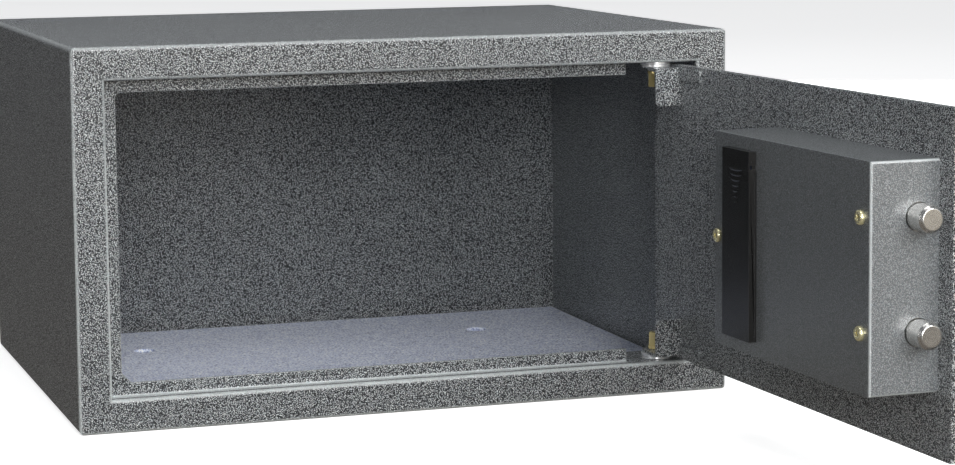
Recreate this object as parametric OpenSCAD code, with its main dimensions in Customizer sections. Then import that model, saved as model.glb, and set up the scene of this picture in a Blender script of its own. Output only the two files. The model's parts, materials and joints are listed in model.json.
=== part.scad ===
// Safe deposit box for a room or wardrobe shelf, drawn with its door open.
// Every piece is drawn from the cabinet's front left bottom corner: X right, Y to the back, Z up.
// cabinet_place() then puts the origin at the middle of the base. Door pieces are drawn with the
// door shut, and door_place() swings them open about the hinge pins.

/* [Cabinet] */
// Width of the cabinet
body_w = 450; // [400:1:520]
// Depth of the cabinet
body_d = 350; // [300:1:450]
// Height of the cabinet
body_h = 250; // [230:1:320]
// Thickness of the cabinet's sheet steel
sheet_t = 2; // [1.5:0.1:3]
// Outer radius of the long folded edges
edge_r = 4; // [3:0.5:8]
// Outer radius where the sheet folds into the front face
front_r = 3; // [2.5:0.5:4]
// Width of the flat band round the door opening
frame_w = 22; // [18:1:30]
// Depth of the fold that lines the door opening
return_d = 4.5; // [4:0.1:5]

/* [Stop frame] */
// Gap between the front fold and the stop frame behind it
seam_gap = 0.5; // [0.3:0.1:0.8]
// Depth of the stop lip behind the cabinet's front face
lip_y = 12.5; // [12:0.1:14]
// Width of the lip that the shut door lies against
lip_w = 8.5; // [6:0.5:10]
// Chamfer of the lip's lower left corner
lip_chamfer = 6.5; // [3:0.5:10]
// Gap between the lip's end and the hinge plate
lip_end_gap = 3; // [2.5:0.5:6]

/* [Door] */
// Thickness of the door plate
door_t = 5; // [4:0.5:7]
// Running gap round the door plate
door_gap = 2; // [1.5:0.1:3]
// Gap between the shut door's hinge brackets and the stop lip
stop_gap = 0.4; // [0.3:0.1:1]
// Angle at which the door is drawn open
door_open_angle = 92.5; // [0:0.5:105]

/* [Hinge] */
// Distance from the door's hinge edge to the hinge axis
hinge_inset = 20.5; // [18:0.5:24]
// Distance from the door's inner face to the hinge axis
hinge_offset = 9; // [8:0.5:11]
// Diameter of the hinge pin
pin_d = 8; // [6:0.5:10]
// Radial running clearance of the hinge pin
pin_clear = 0.05; // [0.03:0.01:0.1]
// Across flats of the hinge pin's hexagon head
pin_hex = 9; // [8:0.5:11]
// Height of the hinge pin's hexagon head
pin_hex_h = 9; // [6:0.5:12]
// Diameter of the hinge washers
washer_d = 21; // [16:0.5:24]
// Thickness of one hinge washer
washer_t = 2; // [1.5:0.1:3]
// Number of washers on each hinge pin
washer_count = 2; // [1:1:3]
// Thickness of the hinge plates in the cabinet
hinge_plate_t = 4; // [3:0.5:6]
// Depth of the hinge plates
hinge_plate_d = 41; // [36:1:60]
// Thickness of the hinge bracket's sheet
bracket_t = 2; // [1.5:0.1:3]
// From the door's hinge edge to the hinge bracket's web
bracket_l = 42; // [38:1:44]
// How far the hinge bracket stands out from the door
bracket_d = 18.5; // [16:0.5:19]
// Height of the hinge bracket's web
bracket_h = 25.5; // [18:0.5:32]
// Length of the tab that joins the bracket to the door
tab_l = 36; // [20:1:50]
// Height of that tab
tab_h = 8; // [6:0.5:14]

/* [Lock housing] */
// Length of the lock housing along the door
housing_w = 200; // [190:1:215]
// Height of the lock housing
housing_h = 134; // [130:1:150]
// Depth of the lock housing
housing_d = 44; // [44:0.5:50]
// Height of the housing's lower edge above the door's lower edge
housing_lift = 38.5; // [20:0.5:45]
// Distance from the door's free edge to the housing
housing_inset = 15.5; // [12:0.5:20]
// Wall of the lock housing
housing_t = 1.5; // [1:0.1:2]
// Outer radius of the housing's folded edges
housing_r = 2; // [1.7:0.1:4]

/* [Bolts] */
// Diameter of the locking bolts
bolt_d = 16; // [12:0.5:18]
// Distance between the two bolts
bolt_pitch = 66; // [60:1:72]
// Distance from the door's inner face to the bolt axis
bolt_offset = 13; // [12:0.5:16]
// Chamfer of the bolt's ends
bolt_chamfer = 1.8; // [0.5:0.1:2.5]
// How far the bolts draw back
bolt_travel = 10; // [8:0.5:12]
// Running clearance of a bolt in its guide
bolt_clear = 0.06; // [0.03:0.01:0.1]
// Radial gap round a bolt where it leaves the housing
bolt_hole_gap = 0.6; // [0.3:0.1:1.5]

/* [Battery box] */
// Width of the battery cover
cover_w = 37; // [36:0.5:44]
// Height of the battery cover
cover_h = 117; // [114:1:120]
// How far the battery cover stands out from the housing
cover_t = 5; // [3:0.5:7]
// Distance from the housing's hinge side to the battery cover
cover_inset = 21.5; // [20:0.5:24]
// Diameter of one battery cell
cell_d = 14.5; // [14:0.1:14.5]
// Length of one battery cell
cell_l = 50.5; // [49:0.1:50.5]

/* [Keypad] */
// Width of the keypad panel
panel_w = 150; // [146:1:170]
// Height of the keypad panel
panel_h = 102; // [100:1:115]
// Thickness of the keypad panel
panel_t = 12; // [11:0.5:14]
// Corner radius of the keypad panel
panel_r = 10; // [4:0.5:14]
// Wall of the keypad panel
panel_wall = 2; // [1.5:0.1:2.5]
// Width of one key
key_w = 16; // [12:0.5:18]
// Height of one key
key_h = 11; // [8:0.5:12]
// Distance between key columns
key_pitch_x = 21; // [20.5:0.5:22]
// Distance between key rows
key_pitch_z = 15; // [14:0.5:16]
// Travel of one key
key_travel = 1; // [0.5:0.1:1.2]

/* [Fixings] */
// Diameter of the anchor holes in the base
anchor_d = 10; // [8:0.5:14]
// Distance between the anchor holes across the width
anchor_x = 260; // [200:5:320]
// Distance between the anchor holes along the depth
anchor_y = 180; // [140:5:220]
// Thickness of the felt floor mat
mat_t = 3; // [2:0.5:5]
// Diameter of the hole that the mat leaves round an anchor
mat_hole_d = 16; // [14:1:24]
// Shank diameter of the housing screws
screw_d = 4; // [3:0.5:5]
// Head diameter of the housing screws
screw_head_d = 9; // [6:0.5:10]

/* [Hidden] */
$fn = 64;
eps = 0.01;
over = 1;

// Door opening and shut door
open_x1 = body_w - frame_w;
open_z1 = body_h - frame_w;
door_x0 = frame_w + door_gap;
door_x1 = open_x1 - door_gap;
door_z0 = frame_w + door_gap;
door_z1 = open_z1 - door_gap;
door_in_y = lip_y - bracket_t - stop_gap;
door_out_y = door_in_y - door_t;

// Hinge
pivot_x = door_x1 - hinge_inset;
pivot_y = door_in_y + hinge_offset;
plate_x0 = door_x1 - bracket_l;
plate_top = frame_w;
washer_top = plate_top + washer_count * washer_t;
bracket_top = washer_top + bracket_t;
pin_play = 0.3;
pin_tail = 3;
pin_low = plate_top - hinge_plate_t - pin_tail;
pin_collar_d = 11;
pin_collar_h = 2.5;
tab_r = 2.5;
web_r = 4;
washer_relief = 0.7;
washer_clear = 0.2;
washer_chamfer = 0.3;
lip_x1 = plate_x0 - lip_end_gap;

// Lock housing, with the door shut
house_x0 = door_x0 + housing_inset;
house_x1 = house_x0 + housing_w;
house_z0 = door_z0 + housing_lift;
house_z1 = house_z0 + housing_h;
house_y1 = door_in_y + housing_d;
house_in_y = house_y1 - housing_t;

// Bolts and their drive
bolt_rise = 1.5;
bolt_mid_z = house_z0 + housing_h / 2 + bolt_rise;
bolt_zs = [bolt_mid_z - bolt_pitch / 2, bolt_mid_z + bolt_pitch / 2];
bolt_y = door_in_y + bolt_offset;
bolt_x0 = door_x0;
motor_d = 24;
motor_rim = 3;
bracket_half = motor_d / 2 + motor_rim;
bracket_gap = 1;
carriage_t = 2;
carriage_in = 32;
carriage_x0 = house_x0 + carriage_in;
carriage_gap = 3;
carriage_reach = 12;
spigot_d = 8;
spigot_clear = 0.05;
spigot_head_d = 12;
spigot_head_t = 2;
guide_t = 2.5;
guide_gap = 8;
guide_x1 = carriage_x0 - guide_gap;
guide_seat = 0.5;
guide_x0 = house_x0 + housing_t + guide_seat;
guide_margin = 14;
rack_m = 1;
rack_pressure = 25;
rack_backlash = 0.3;
tooth_add = 0.75 * rack_m;
tooth_ded = 1.15 * rack_m;
rack_w = 6;
rack_bar = 3;
rack_teeth = 11;
rack_x0 = carriage_x0 + carriage_t + PI * rack_m;
pinion_teeth = 12;
pinion_r = rack_m * pinion_teeth / 2;
pinion_x = carriage_x0 + carriage_t + spigot_head_t + bolt_travel + bracket_half + bracket_gap;
pinion_z = bolt_mid_z + pinion_r;
pinion_y0 = bolt_y - rack_w / 2;
shaft_d = 4;
motor_plate_t = 1.5;
rack_gap = 1;
motor_y0 = bolt_y + rack_w / 2 + rack_gap + motor_plate_t;
motor_cap_l = 1.5;
motor_cap_d = 6;
motor_play = 0.5;
motor_y1 = house_in_y - motor_cap_l - motor_play;

// Screws of the housing
screw_in = 10.5;
screw_x = house_x0 + screw_in;
post_in = 6;
post_x = house_x1 - post_in;
post_z = bolt_mid_z;
post_d = 8;
screw_l = 9;
screw_head_h = 2.6;
screw_play = 0.5;
thread_play = 0.1;

// Battery box
cover_x1 = house_x1 - cover_inset;
cover_x0 = cover_x1 - cover_w;
cover_lift = 9;
cover_z0 = house_z0 + cover_lift;
cover_gap = 0.1;
cover_wall = 1.5;
ridge_count = 7;
ridge_pitch = 3.45;
ridge_l = 20;
ridge_d = 1.2;
ridge_drop = 12;
ridge_top = cover_z0 + cover_h - ridge_drop;
notch_drop = 11;
notch_h = 3;
notch_rim = 1;
tray_wall = 1.5;
tray_side_room = 2;
tray_w = 2 * cell_d + 2 * tray_wall + tray_side_room;
tray_x0 = cover_x0 + (cover_w - tray_w) / 2;
tray_end_room = 6;
tray_h = 2 * cell_l + 2 * tray_wall + tray_end_room;
tray_z0 = cover_z0 + (cover_h - tray_h) / 2;
tray_depth_room = 1.5;
tray_y0 = house_y1 - cell_d - tray_wall - tray_depth_room;
tray_play = 0.2;
cell_gap = 0.3;
cell_pair_gap = 1;
cell_tip_l = 1.5;
cell_tip_d = 5.5;
contact_t = 0.5;
contact_in = 1;
contact_w = cell_d - 1.6;
contact_d = cell_d - 3;

// Keypad panel, on the door's outer face
panel_in = 20;
panel_x0 = house_x0 + panel_in;
panel_z0 = house_z0 + (housing_h - panel_h) / 2;
panel_out_y = door_out_y - panel_t;
panel_in_y = panel_out_y + panel_wall;
key_in_x = 24;
key_in_z = 18;
key_x0 = panel_x0 + key_in_x;
key_z0 = panel_z0 + key_in_z;
key_r = 2;
key_stem_d = 5;
key_fit = 0.35;
key_proud = 2;
key_flange = 1.4;
key_flange_t = 1;
key_seat = 0.3;
board_t = 1.6;
board_gap = 0.3;
board_room = 2;
board_y0 = panel_in_y + key_seat + key_flange_t + key_travel + board_room;
board_in = 5;
board_w = 94;
display_in = 16;
display_x0 = panel_x0 + display_in;
display_w = 56;
display_h = 15;
display_drop = 24;
display_z0 = panel_z0 + panel_h - display_drop;
display_rim = 2;
display_rim_t = 1.5;
display_inset = 0.3;
display_play = 0.1;
lamp_d = 3;
lamp_play = 0.1;
lamp_in = 84;
lamp_pitch = 10;
lamp_xs = [panel_x0 + lamp_in, panel_x0 + lamp_in + lamp_pitch];
lamp_z = display_z0 + display_h / 2;
boss_d = 8;
boss_in = 9;
panel_screw_d = 2.5;
panel_screw_head = 6;
panel_screw_head_h = 2;
panel_screw_bite = 5;
panel_screw_play = 0.5;

// Override lock and its cover
lock_in_x = 116;
lock_in_z = 38;
lock_x = panel_x0 + lock_in_x;
lock_z = panel_z0 + lock_in_z;
barrel_d = 19;
barrel_play = 0.2;
barrel_flange_d = 23;
barrel_flange_t = 1.5;
cam_gap = 0.5;
cam_y0 = bolt_y + rack_w / 2 + cam_gap;
barrel_end_gap = 0.3;
barrel_y1 = cam_y0 - barrel_end_gap;
plug_d = 12;
plug_clear = 0.05;
keyway_w = 1.6;
keyway_h = 8;
keyway_l = 14;
cam_l = 16;
cam_w = 8;
cam_t = 2;
flap_w = 30;
flap_h = 34;
flap_t = 2;
flap_r = 5;
flap_pin_d = 4;
flap_pin_head_d = 7;
flap_pin_head_t = 1.3;
flap_rise = 21;
flap_z = lock_z + flap_rise;
flap_gap = 0.2;
flap_y1 = panel_out_y - barrel_flange_t - flap_gap;

// Boards and leads inside the housing
main_board_w = 62;
main_board_h = 34;
main_board_in = 6;
main_board_lift = 7;
spacer_l = 14;
main_board_x0 = pinion_x - main_board_in;
main_board_z0 = house_z0 + main_board_lift;
main_board_y0 = door_in_y + spacer_l;
chip_at = [10, 8];
chip_size = [14, 3, 14];
terminal_at = [44, 12];
terminal_size = [10, 6, 8];
spacer_d = 6;
spacer_in = 5;
ribbon_w = 12;
ribbon_t = 1.2;
ribbon_at = [24, 20];
ribbon_x0 = main_board_x0 + ribbon_at[0];
ribbon_z = main_board_z0 + ribbon_at[1];
ribbon_slot_side = 1;
ribbon_slot_rise = 2;
lead_d = 1.4;
lead_drop = 8;
lead_reach = 8;
lead_in = 5;

key_names = [
    ["clear", "0", "enter"],
    ["7", "8", "9"],
    ["4", "5", "6"],
    ["1", "2", "3"]
];

// Places and shapes shared by several pieces

module cabinet_place() translate([-body_w / 2, -body_d / 2, 0]) children();

module door_place()
    cabinet_place()
        translate([pivot_x, pivot_y, 0])
            rotate([0, 0, door_open_angle])
                translate([-pivot_x, -pivot_y, 0]) children();

// Turns a piece at the lower hinge into its twin at the upper hinge
module at_top() translate([0, 0, body_h]) mirror([0, 0, 1]) children();

// Bar along Y with its outline drawn in X and Z
module along_y(y0, y1) translate([0, y1, 0]) rotate([90, 0, 0]) linear_extrude(y1 - y0) children();

// Bar along X with its outline drawn in Y and Z
module along_x(x0, x1) translate([x0, 0, 0]) rotate([90, 0, 90]) linear_extrude(x1 - x0) children();

// Cylinder along Y
module rod_y(x, z, y0, y1, d) translate([x, y1, z]) rotate([90, 0, 0]) cylinder(h = y1 - y0, d = d);

// Cylinder along X
module rod_x(y, z, x0, x1, d) translate([x0, y, z]) rotate([0, 90, 0]) cylinder(h = x1 - x0, d = d);

module round_rect(x0, z0, x1, z1, r) {
    translate([x0 + r, z0]) square([x1 - x0 - 2 * r, z1 - z0]);
    translate([x0, z0 + r]) square([x1 - x0, z1 - z0 - 2 * r]);
    for (x = [x0 + r, x1 - r], z = [z0 + r, z1 - r]) translate([x, z]) circle(r);
}

// Rectangle whose two corners on the low side of Y are rounded; across is X or Z
module front_round(w, y0, y1, r) {
    translate([0, y0 + r]) square([w, y1 - y0 - r]);
    translate([r, y0]) square([w - 2 * r, r + eps]);
    for (x = [r, w - r]) translate([x, y0 + r]) circle(r);
}

// The same outline with its first axis along Y, for along_x
module front_round_side(h, y0, y1, r) mirror([1, -1]) front_round(h, y0, y1, r);

// Wall bore: an opening of w by h at (x0, z0) whose front edges roll outwards by r
module mouth_outline(a0, a1, y1, r) {
    translate([a0, -over]) square([a1 - a0, y1 + over]);
    difference() {
        translate([a0 - r, -over]) square([a1 - a0 + 2 * r, r + over]);
        for (a = [a0 - r, a1 + r]) translate([a, r]) circle(r);
    }
}

module folded_block(y1) {
    intersection() {
        along_y(0, y1) round_rect(0, 0, body_w, body_h, edge_r);
        linear_extrude(body_h) front_round(body_w, 0, body_d, front_r);
        along_x(0, body_w) front_round_side(body_h, 0, body_d, front_r);
    }
}

module door_mouth(y1) {
    intersection() {
        translate([0, 0, frame_w - front_r]) linear_extrude(open_z1 - frame_w + 2 * front_r)
            mouth_outline(frame_w, open_x1, y1, front_r);
        along_x(frame_w - front_r, open_x1 + front_r)
            mirror([1, -1]) mouth_outline(frame_w, open_z1, y1, front_r);
    }
}

// Cabinet

// Face frame with its rolled outer edges and the folded return round the mouth
module front_frame() cabinet_place() color("dimgray") difference() {
    union() {
        difference() {
            folded_block(front_r);
            along_y(sheet_t, front_r + over)
                round_rect(sheet_t, sheet_t, body_w - sheet_t, body_h - sheet_t, edge_r - sheet_t);
        }
        translate([frame_w - sheet_t, sheet_t / 2, frame_w - sheet_t])
            cube([open_x1 - frame_w + 2 * sheet_t, return_d - sheet_t / 2, open_z1 - frame_w + 2 * sheet_t]);
    }
    door_mouth(return_d + over);
}

// Sheet wrapped round the top, the sides and the base, behind the face frame
module outer_shell() cabinet_place() color("dimgray") difference() {
    along_y(front_r, body_d) round_rect(0, 0, body_w, body_h, edge_r);
    along_y(front_r - over, body_d + over)
        round_rect(sheet_t, sheet_t, body_w - sheet_t, body_h - sheet_t, edge_r - sheet_t);
    base_anchors(anchor_d);
}

module base_anchors(d)
    for (x = [-1, 1], y = [-1, 1])
        translate([body_w / 2 + x * anchor_x / 2, body_d / 2 + y * anchor_y / 2, -over])
            cylinder(h = sheet_t + mat_t + 2 * over, d = d);

module back_panel() cabinet_place() color("slategray")
    along_y(body_d - sheet_t, body_d)
        round_rect(sheet_t, sheet_t, body_w - sheet_t, body_h - sheet_t, edge_r - sheet_t);

module lip_window() {
    x0 = frame_w + lip_w;
    z0 = frame_w + lip_w;
    z1 = open_z1 - lip_w;
    polygon([
        [x0 + lip_chamfer, z0], [lip_x1 + over, z0], [lip_x1 + over, z1], [x0 + 2, z1], [x0, z1 - 2],
        [x0, z0 + lip_chamfer]
    ]);
}

module lip_frame() cabinet_place() color("gray") {
    difference() {
        translate([frame_w - sheet_t, return_d + seam_gap, frame_w - sheet_t])
            cube([lip_x1 - frame_w + sheet_t, lip_y + sheet_t - return_d - seam_gap,
                  open_z1 - frame_w + 2 * sheet_t]);
        translate([frame_w, return_d, frame_w]) cube([body_w, lip_y - return_d, open_z1 - frame_w]);
        along_y(lip_y - over, lip_y + sheet_t + over) lip_window();
    }
}

module hinge_plate() difference() {
    translate([plate_x0, return_d, plate_top - hinge_plate_t])
        cube([body_w - sheet_t - plate_x0, hinge_plate_d, hinge_plate_t]);
    translate([pivot_x, pivot_y, 0]) cylinder(h = body_h / 2, r = pin_d / 2 + pin_clear);
}

module lower_hinge_plate() cabinet_place() color("gray") hinge_plate();
module upper_hinge_plate() cabinet_place() color("gray") at_top() hinge_plate();

module washers() {
    bore = pin_d / 2 + washer_clear;
    rim = washer_d / 2;
    for (i = [0 : washer_count - 1])
        translate([pivot_x, pivot_y, plate_top + i * washer_t]) rotate_extrude() polygon([
            [bore, 0], [rim - washer_chamfer, 0], [rim, washer_chamfer], [rim, washer_t - washer_chamfer],
            [rim - washer_chamfer, washer_t], [bore, washer_t]
        ]);
}

module lower_washers() cabinet_place() color("silver") washers();
module upper_washers() cabinet_place() color("silver") at_top() washers();

module hinge_pin() translate([pivot_x, pivot_y, 0]) {
    collar_z = bracket_top + pin_play;
    translate([0, 0, pin_low]) cylinder(h = collar_z - pin_low + eps, d = pin_d);
    translate([0, 0, collar_z]) cylinder(h = pin_collar_h, d = pin_collar_d);
    translate([0, 0, collar_z + pin_collar_h - eps])
        cylinder(h = pin_hex_h + eps, d = pin_hex / cos(30), $fn = 6);
}

module lower_hinge_pin() cabinet_place() color("goldenrod") hinge_pin();
module upper_hinge_pin() cabinet_place() color("goldenrod") at_top() hinge_pin();

module floor_mat() cabinet_place() color("lightslategray") difference() {
    mat_gap = max(1, edge_r - sheet_t);
    mat_y0 = lip_y + sheet_t + mat_gap;
    translate([sheet_t + mat_gap, mat_y0, sheet_t])
        cube([body_w - 2 * sheet_t - 2 * mat_gap, body_d - sheet_t - mat_gap - mat_y0, mat_t]);
    base_anchors(mat_hole_d);
}

// Door plate and hinge brackets

module door_plate() door_place() color("dimgray") difference() {
    along_y(door_out_y, door_in_y) round_rect(door_x0, door_z0, door_x1, door_z1, 1);
    hinge_relief();
    at_top() hinge_relief();
    rod_y(lock_x, lock_z, door_out_y - over, door_in_y + over, barrel_d + 2 * barrel_play);
    for (p = boss_points())
        rod_y(p[0], p[1], door_out_y - over, door_in_y + over, panel_screw_d + 2 * panel_screw_play);
    translate([ribbon_x0 - ribbon_slot_side, door_out_y - over, ribbon_z - ribbon_slot_rise])
        cube([ribbon_w + 2 * ribbon_slot_side, door_t + 2 * over, ribbon_t + 2 * ribbon_slot_rise]);
}

// Room for the washers at the door's corner
module hinge_relief() translate([pivot_x, pivot_y, 0])
    cylinder(h = washer_top + washer_relief, d = washer_d + 2 * washer_relief);

module hinge_bracket() {
    x0 = door_x1 - bracket_l;
    difference() {
        union() {
            translate([0, 0, washer_top]) linear_extrude(bracket_t) bracket_foot(x0);
            along_x(x0, x0 + bracket_t) bracket_web();
            along_y(door_in_y, door_in_y + bracket_t)
                round_rect(x0 + bracket_t - tab_l, washer_top, x0 + bracket_t, washer_top + tab_h, tab_r);
        }
        translate([pivot_x, pivot_y, 0]) cylinder(h = bracket_top + over, r = pin_d / 2 + pin_clear);
    }
}

// Foot of the bracket, in X and Y, with its end rounded about the pin
module bracket_foot(x0) {
    translate([x0, door_in_y]) square([pivot_x - x0, bracket_d]);
    intersection() {
        translate([pivot_x, pivot_y]) circle(r = door_in_y + bracket_d - pivot_y);
        translate([x0, door_in_y]) square([bracket_l, bracket_d]);
    }
}

// Web of the bracket, in Y and Z, with its free upper corner rounded
module bracket_web() {
    r = web_r;
    y1 = door_in_y + bracket_d;
    z1 = washer_top + bracket_h;
    translate([door_in_y, washer_top]) square([bracket_d, bracket_h - r]);
    translate([door_in_y, z1 - r - eps]) square([bracket_d - r, r + eps]);
    translate([y1 - r, z1 - r]) circle(r);
}

module lower_hinge_bracket() door_place() color("gray") hinge_bracket();
module upper_hinge_bracket() door_place() color("gray") at_top() hinge_bracket();

// Lock housing

module housing_block(x0, z0, x1, z1, y1, r) {
    intersection() {
        along_y(door_in_y, y1) round_rect(x0, z0, x1, z1, r);
        translate([x0, 0, z0]) linear_extrude(z1 - z0)
            translate([0, door_in_y + y1]) mirror([0, 1]) front_round(x1 - x0, door_in_y, y1, r);
    }
}

module lock_housing() door_place() color("gray") difference() {
    housing_block(house_x0, house_z0, house_x1, house_z1, house_y1, housing_r);
    translate([house_x0 + housing_t, door_in_y - over, house_z0 + housing_t])
        cube([housing_w - 2 * housing_t, housing_d + over - housing_t, housing_h - 2 * housing_t]);
    for (z = bolt_zs)
        rod_x(bolt_y, z, house_x0 - over, house_x0 + housing_t + over, bolt_d + 2 * bolt_hole_gap);
    for (z = bolt_zs) rod_y(screw_x, z, house_in_y - over, house_y1 + over, screw_d + screw_play);
    rod_y(post_x, post_z, house_in_y - over, house_y1 + over, screw_d + screw_play);
    translate([tray_x0 - tray_play, house_in_y - over, tray_z0 - tray_play])
        cube([tray_w + 2 * tray_play, housing_t + 2 * over, tray_h + 2 * tray_play]);
}

// Pan head screw along -Y whose head sits on y
module pan_screw(x, z, y, d, head_d, head_h, length) translate([x, y, z]) rotate([-90, 0, 0]) {
    difference() {
        intersection() {
            cylinder(h = head_h, d = head_d);
            translate([0, 0, head_h - head_d * 0.7]) sphere(d = head_d * 1.4);
        }
        for (a = [0, 90]) rotate([0, 0, a]) translate([-head_d * 0.3, -head_d * 0.06, head_h - 1.2])
            cube([head_d * 0.6, head_d * 0.12, 2]);
    }
    translate([0, 0, -length]) cylinder(h = length + eps, d = d);
}

module housing_screws() door_place() color("khaki") {
    for (z = bolt_zs) pan_screw(screw_x, z, house_y1, screw_d, screw_head_d, screw_head_h, screw_l);
    pan_screw(post_x, post_z, house_y1, screw_d, screw_head_d, screw_head_h, screw_l);
}

// Threaded post that takes the housing screw on the hinge side
module housing_post() door_place() color("silver") difference() {
    rod_y(post_x, post_z, door_in_y, house_in_y, post_d);
    rod_y(post_x, post_z, house_in_y - screw_l, house_in_y + over, screw_d + thread_play);
}

// Folded sleeve that guides both bolts and takes two housing screws
module bolt_guide() door_place() color("silver") difference() {
    z0 = bolt_zs[0] - guide_margin;
    height = bolt_pitch + 2 * guide_margin;
    translate([guide_x0, door_in_y, z0]) cube([guide_x1 - guide_x0, house_in_y - door_in_y, height]);
    translate([guide_x0 + guide_t, door_in_y + guide_t, z0 - over])
        cube([guide_x1 - guide_x0 - 2 * guide_t, house_in_y - door_in_y - 2 * guide_t, height + 2 * over]);
    for (z = bolt_zs) {
        rod_x(bolt_y, z, guide_x0 - over, guide_x1 + over, bolt_d + 2 * bolt_clear);
        rod_y(screw_x, z, house_in_y - guide_t - over, house_in_y + over, screw_d + thread_play);
    }
}

// Bolts, carriage and drive

module bolt(z) translate([bolt_x0, bolt_y, z]) rotate([0, 90, 0]) {
    length = carriage_x0 - bolt_x0;
    rotate_extrude() polygon([
        [0, 0], [bolt_d / 2 - bolt_chamfer, 0], [bolt_d / 2, bolt_chamfer], [bolt_d / 2, length - 0.5],
        [bolt_d / 2 - 0.5, length], [spigot_d / 2, length], [spigot_d / 2, length + carriage_t],
        [spigot_head_d / 2, length + carriage_t], [spigot_head_d / 2, length + carriage_t + spigot_head_t],
        [0, length + carriage_t + spigot_head_t]
    ]);
}

module upper_bolt() door_place() color("lightgray") bolt(bolt_zs[1]);
module lower_bolt() door_place() color("lightgray") bolt(bolt_zs[0]);

// Rack teeth in X and Z, pitch line at z = 0, first tooth centred on x = 0
module rack_outline() {
    pitch = PI * rack_m;
    half = pitch / 4 - rack_backlash / 2;
    lean = tan(rack_pressure);
    translate([-pitch - carriage_t / 2, -tooth_ded - rack_bar])
        square([lock_x + cam_w - rack_x0 + pitch + carriage_t / 2, rack_bar]);
    for (i = [0 : rack_teeth - 1]) translate([i * pitch, 0]) polygon([
        [-half - tooth_ded * lean, -tooth_ded - eps], [half + tooth_ded * lean, -tooth_ded - eps],
        [half - tooth_add * lean, tooth_add], [-half + tooth_add * lean, tooth_add]
    ]);
}

// Plate that joins the bolts, with the rack and the tail that runs on to the override lock
module bolt_carriage() door_place() color("silver") {
    difference() {
        translate([carriage_x0, door_in_y + carriage_gap, bolt_zs[0] - carriage_reach])
            cube([carriage_t, 2 * (bolt_offset - carriage_gap), bolt_pitch + 2 * carriage_reach]);
        for (z = bolt_zs)
            rod_x(bolt_y, z, carriage_x0 - over, carriage_x0 + carriage_t + over,
                  spigot_d + 2 * spigot_clear);
    }
    translate([rack_x0, 0, bolt_mid_z]) along_y(pinion_y0, pinion_y0 + rack_w) rack_outline();
}

// Involute of a circle of radius r at roll angle a, in degrees
function involute(r, a) = [r * (cos(a) + a * PI / 180 * sin(a)), r * (sin(a) - a * PI / 180 * cos(a))];

// Roll angle at which the involute of base radius b reaches radius r
function roll_at(b, r) = r <= b ? 0 : sqrt(r * r / (b * b) - 1) * 180 / PI;

function turned(p, a) = [p[0] * cos(a) - p[1] * sin(a), p[0] * sin(a) + p[1] * cos(a)];

module pinion_outline() {
    base = pinion_r * cos(rack_pressure);
    tip = pinion_r + tooth_add;
    root = pinion_r - tooth_ded;
    at_pitch = involute(base, roll_at(base, pinion_r));
    half = 90 / pinion_teeth - rack_backlash / 2 / pinion_r * 180 / PI / 2;
    shift = half + atan2(at_pitch[1], at_pitch[0]);
    steps = 4;
    flank = [for (i = [0 : steps]) turned(involute(base, roll_at(base, tip) * i / steps), -shift)];
    other = [for (i = [steps : -1 : 0]) [flank[i][0], -flank[i][1]]];
    circle(root);
    for (i = [0 : pinion_teeth - 1]) rotate(i * 360 / pinion_teeth)
        polygon(concat([[root - 0.5, flank[0][1] * 0.9]], flank, other, [[root - 0.5, -flank[0][1] * 0.9]]));
}

// Turns the pinion so that a gap faces the rack tooth below its axis
function mesh_angle() = -90 - (pinion_x - rack_x0) / pinion_r * 180 / PI + 180 / pinion_teeth;

module drive_pinion() door_place() color("goldenrod") difference() {
    translate([pinion_x, pinion_y0 + rack_w, pinion_z]) rotate([90, 0, 0]) linear_extrude(rack_w)
        rotate(mesh_angle()) pinion_outline();
    rod_y(pinion_x, pinion_z, pinion_y0 - over, pinion_y0 + rack_w + over, shaft_d + 2 * pin_clear);
}

module lock_motor() door_place() color("darkgray") {
    rod_y(pinion_x, pinion_z, motor_y0, motor_y1, motor_d);
    rod_y(pinion_x, pinion_z, pinion_y0 - 1, motor_y0 + eps, shaft_d);
    rod_y(pinion_x, pinion_z, motor_y1 - eps, motor_y1 + motor_cap_l, motor_cap_d);
}

// Bridge that carries the motor over the rack
module motor_bracket() door_place() color("silver") difference() {
    x0 = pinion_x - bracket_half;
    z0 = pinion_z - bracket_half;
    translate([x0, door_in_y, z0]) cube([2 * bracket_half, motor_y0 - door_in_y, 2 * bracket_half]);
    translate([x0 - over, door_in_y - over, z0 + motor_plate_t])
        cube([2 * (bracket_half + over), motor_y0 - motor_plate_t - door_in_y + over,
              2 * (bracket_half - motor_plate_t)]);
    rod_y(pinion_x, pinion_z, door_in_y, motor_y0 + over, 2 * shaft_d);
}

// Electronics inside the housing

module control_board() door_place() color("darkgreen") {
    translate([main_board_x0, main_board_y0, main_board_z0]) cube([main_board_w, board_t, main_board_h]);
    translate([main_board_x0 + chip_at[0], main_board_y0 + board_t - eps, main_board_z0 + chip_at[1]])
        cube(chip_size);
    translate([main_board_x0 + terminal_at[0], main_board_y0 + board_t - eps, main_board_z0 + terminal_at[1]])
        cube(terminal_size);
}

module board_spacers() door_place() color("white")
    for (x = [spacer_in, main_board_w - spacer_in], z = [spacer_in, main_board_h - spacer_in])
        rod_y(main_board_x0 + x, main_board_z0 + z, door_in_y, main_board_y0, spacer_d);

module ribbon_cable() door_place() color("gainsboro")
    translate([ribbon_x0, board_y0 + board_t, ribbon_z])
        cube([ribbon_w, main_board_y0 - board_y0 - board_t, ribbon_t]);

// Wire that runs along straight stretches with round corners
module wire(points, d)
    for (i = [0 : len(points) - 2]) {
        step = points[i + 1] - points[i];
        length = norm(step);
        translate(points[i]) rotate([0, acos(step[2] / length), atan2(step[1], step[0])])
            cylinder(h = length, d = d);
        if (i > 0) translate(points[i]) sphere(d = d);
    }

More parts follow.
